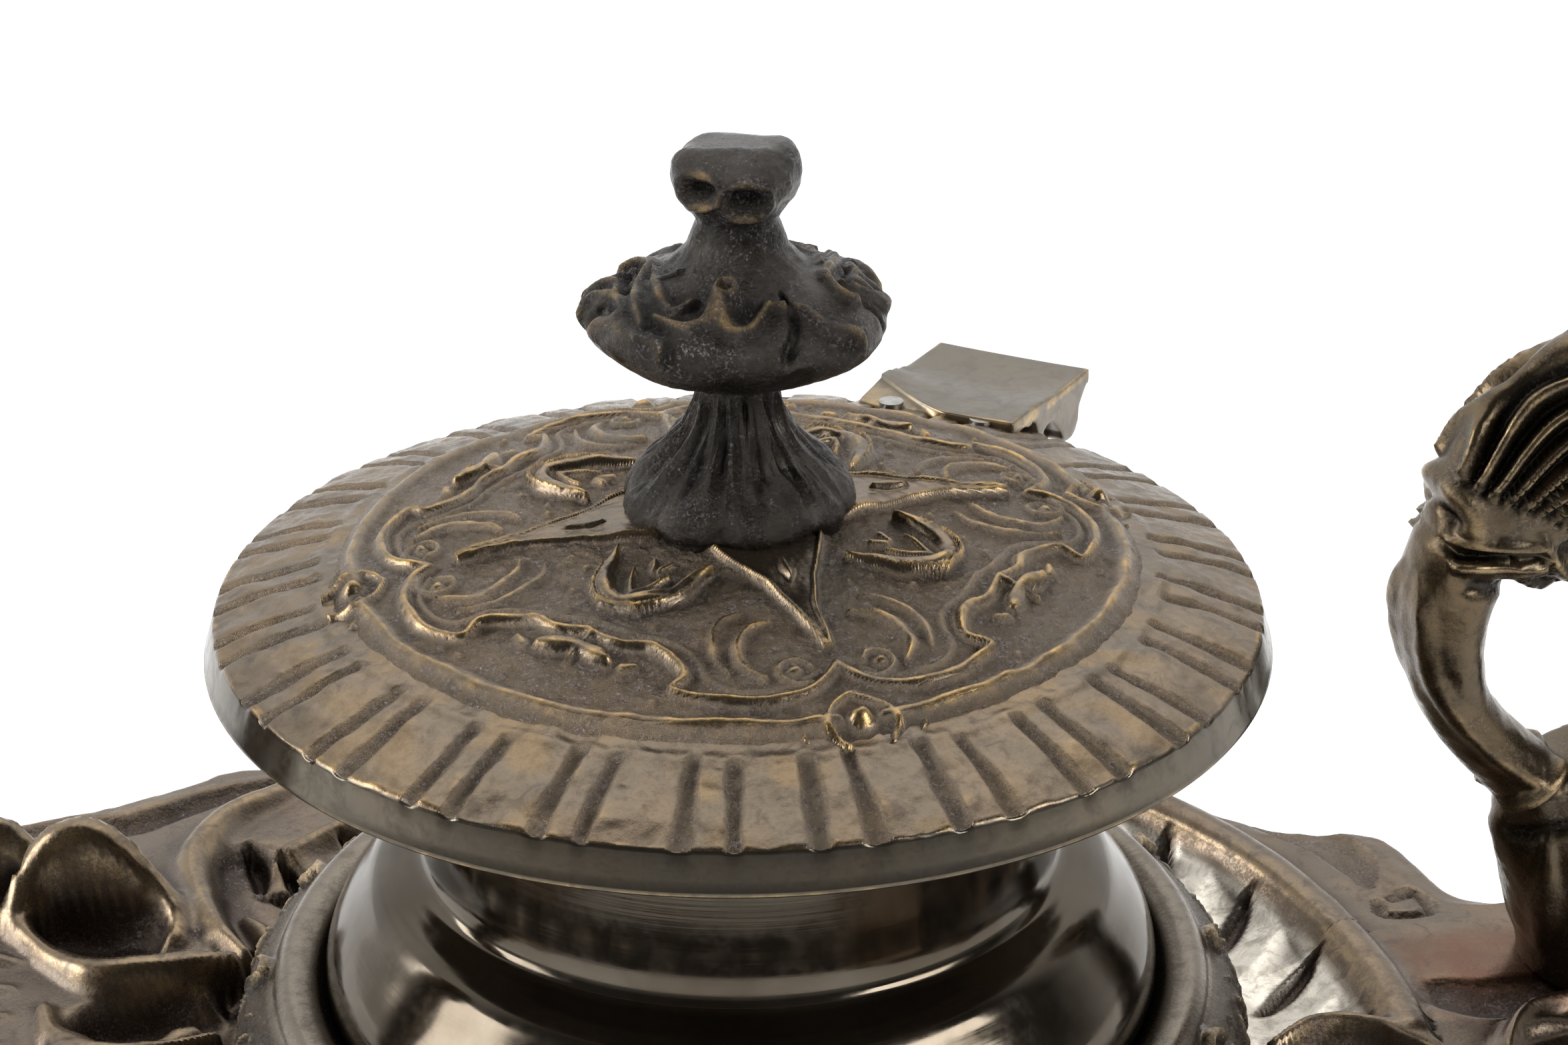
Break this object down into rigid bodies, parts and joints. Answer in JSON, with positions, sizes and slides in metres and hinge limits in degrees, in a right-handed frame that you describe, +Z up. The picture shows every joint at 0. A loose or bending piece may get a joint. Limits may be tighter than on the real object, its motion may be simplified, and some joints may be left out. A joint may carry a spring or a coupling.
{
  "type": "inkwell",
  "caption": "Bronze inkwell: a waisted pot with a hinged relief lid and a loose liner, bolted to a footed tray with scroll handles.",
  "frame": {"origin": "centre of the bounding box at the table the feet stand on, which is also the pot's axis", "axes": "+Z up along the pot's axis, +X along the tray towards the right handle, +Y to the back"},
  "size_m": [0.148, 0.0968, 0.075],
  "materials": {
    "tray_bronze": "satin patinated bronze with rubbed edges",
    "handle_bronze": "patinated bronze with rubbed ridges",
    "cup_bronze": "patinated cast bronze",
    "polished_bronze": "dark polished bronze",
    "lid_bronze": "patinated relief bronze with rubbed ridges",
    "finial_bronze": "dark cast bronze",
    "leaf_bronze": "smooth satin bronze",
    "dark_bronze": "dark bronze",
    "steel": "plain steel",
    "china": "white glazed china"
  },
  "bodies": {
    "base": {"tray": "tray_bronze", "foot_front_left": "dark_bronze", "foot_front_right": "dark_bronze", "foot_back_left": "dark_bronze", "foot_back_right": "dark_bronze", "foot_screws": "steel", "handle_left": "handle_bronze", "handle_right": "handle_bronze", "handle_screws": "steel", "leaf_cup": "cup_bronze", "pot_body": "polished_bronze", "pot_bolt": "steel", "pot_washer": "steel", "pot_nut": "steel", "hinge_pin": "steel", "hinge_bracket": "dark_bronze", "bracket_screws": "steel"},
    "lid": {"lid_plate": "lid_bronze", "lid_ring": "dark_bronze", "finial": "finial_bronze", "finial_screw": "steel", "hinge_leaf": "leaf_bronze", "leaf_screws": "steel"},
    "liner": {"ink_liner": "china"}
  },
  "joints": [
    {"name": "lid_hinge", "type": "hinge", "parent": "base", "child": "lid", "pos_m": [0.02517, 0.03109, 0.0442], "axis": [-0.7771, 0.6293, 0], "range_deg": [0, 100]},
    {"name": "liner_turn", "type": "hinge", "parent": "base", "child": "liner", "pos_m": [0, 0, 0.03], "axis": [0, 0, 1], "continuous": true}
  ]
}
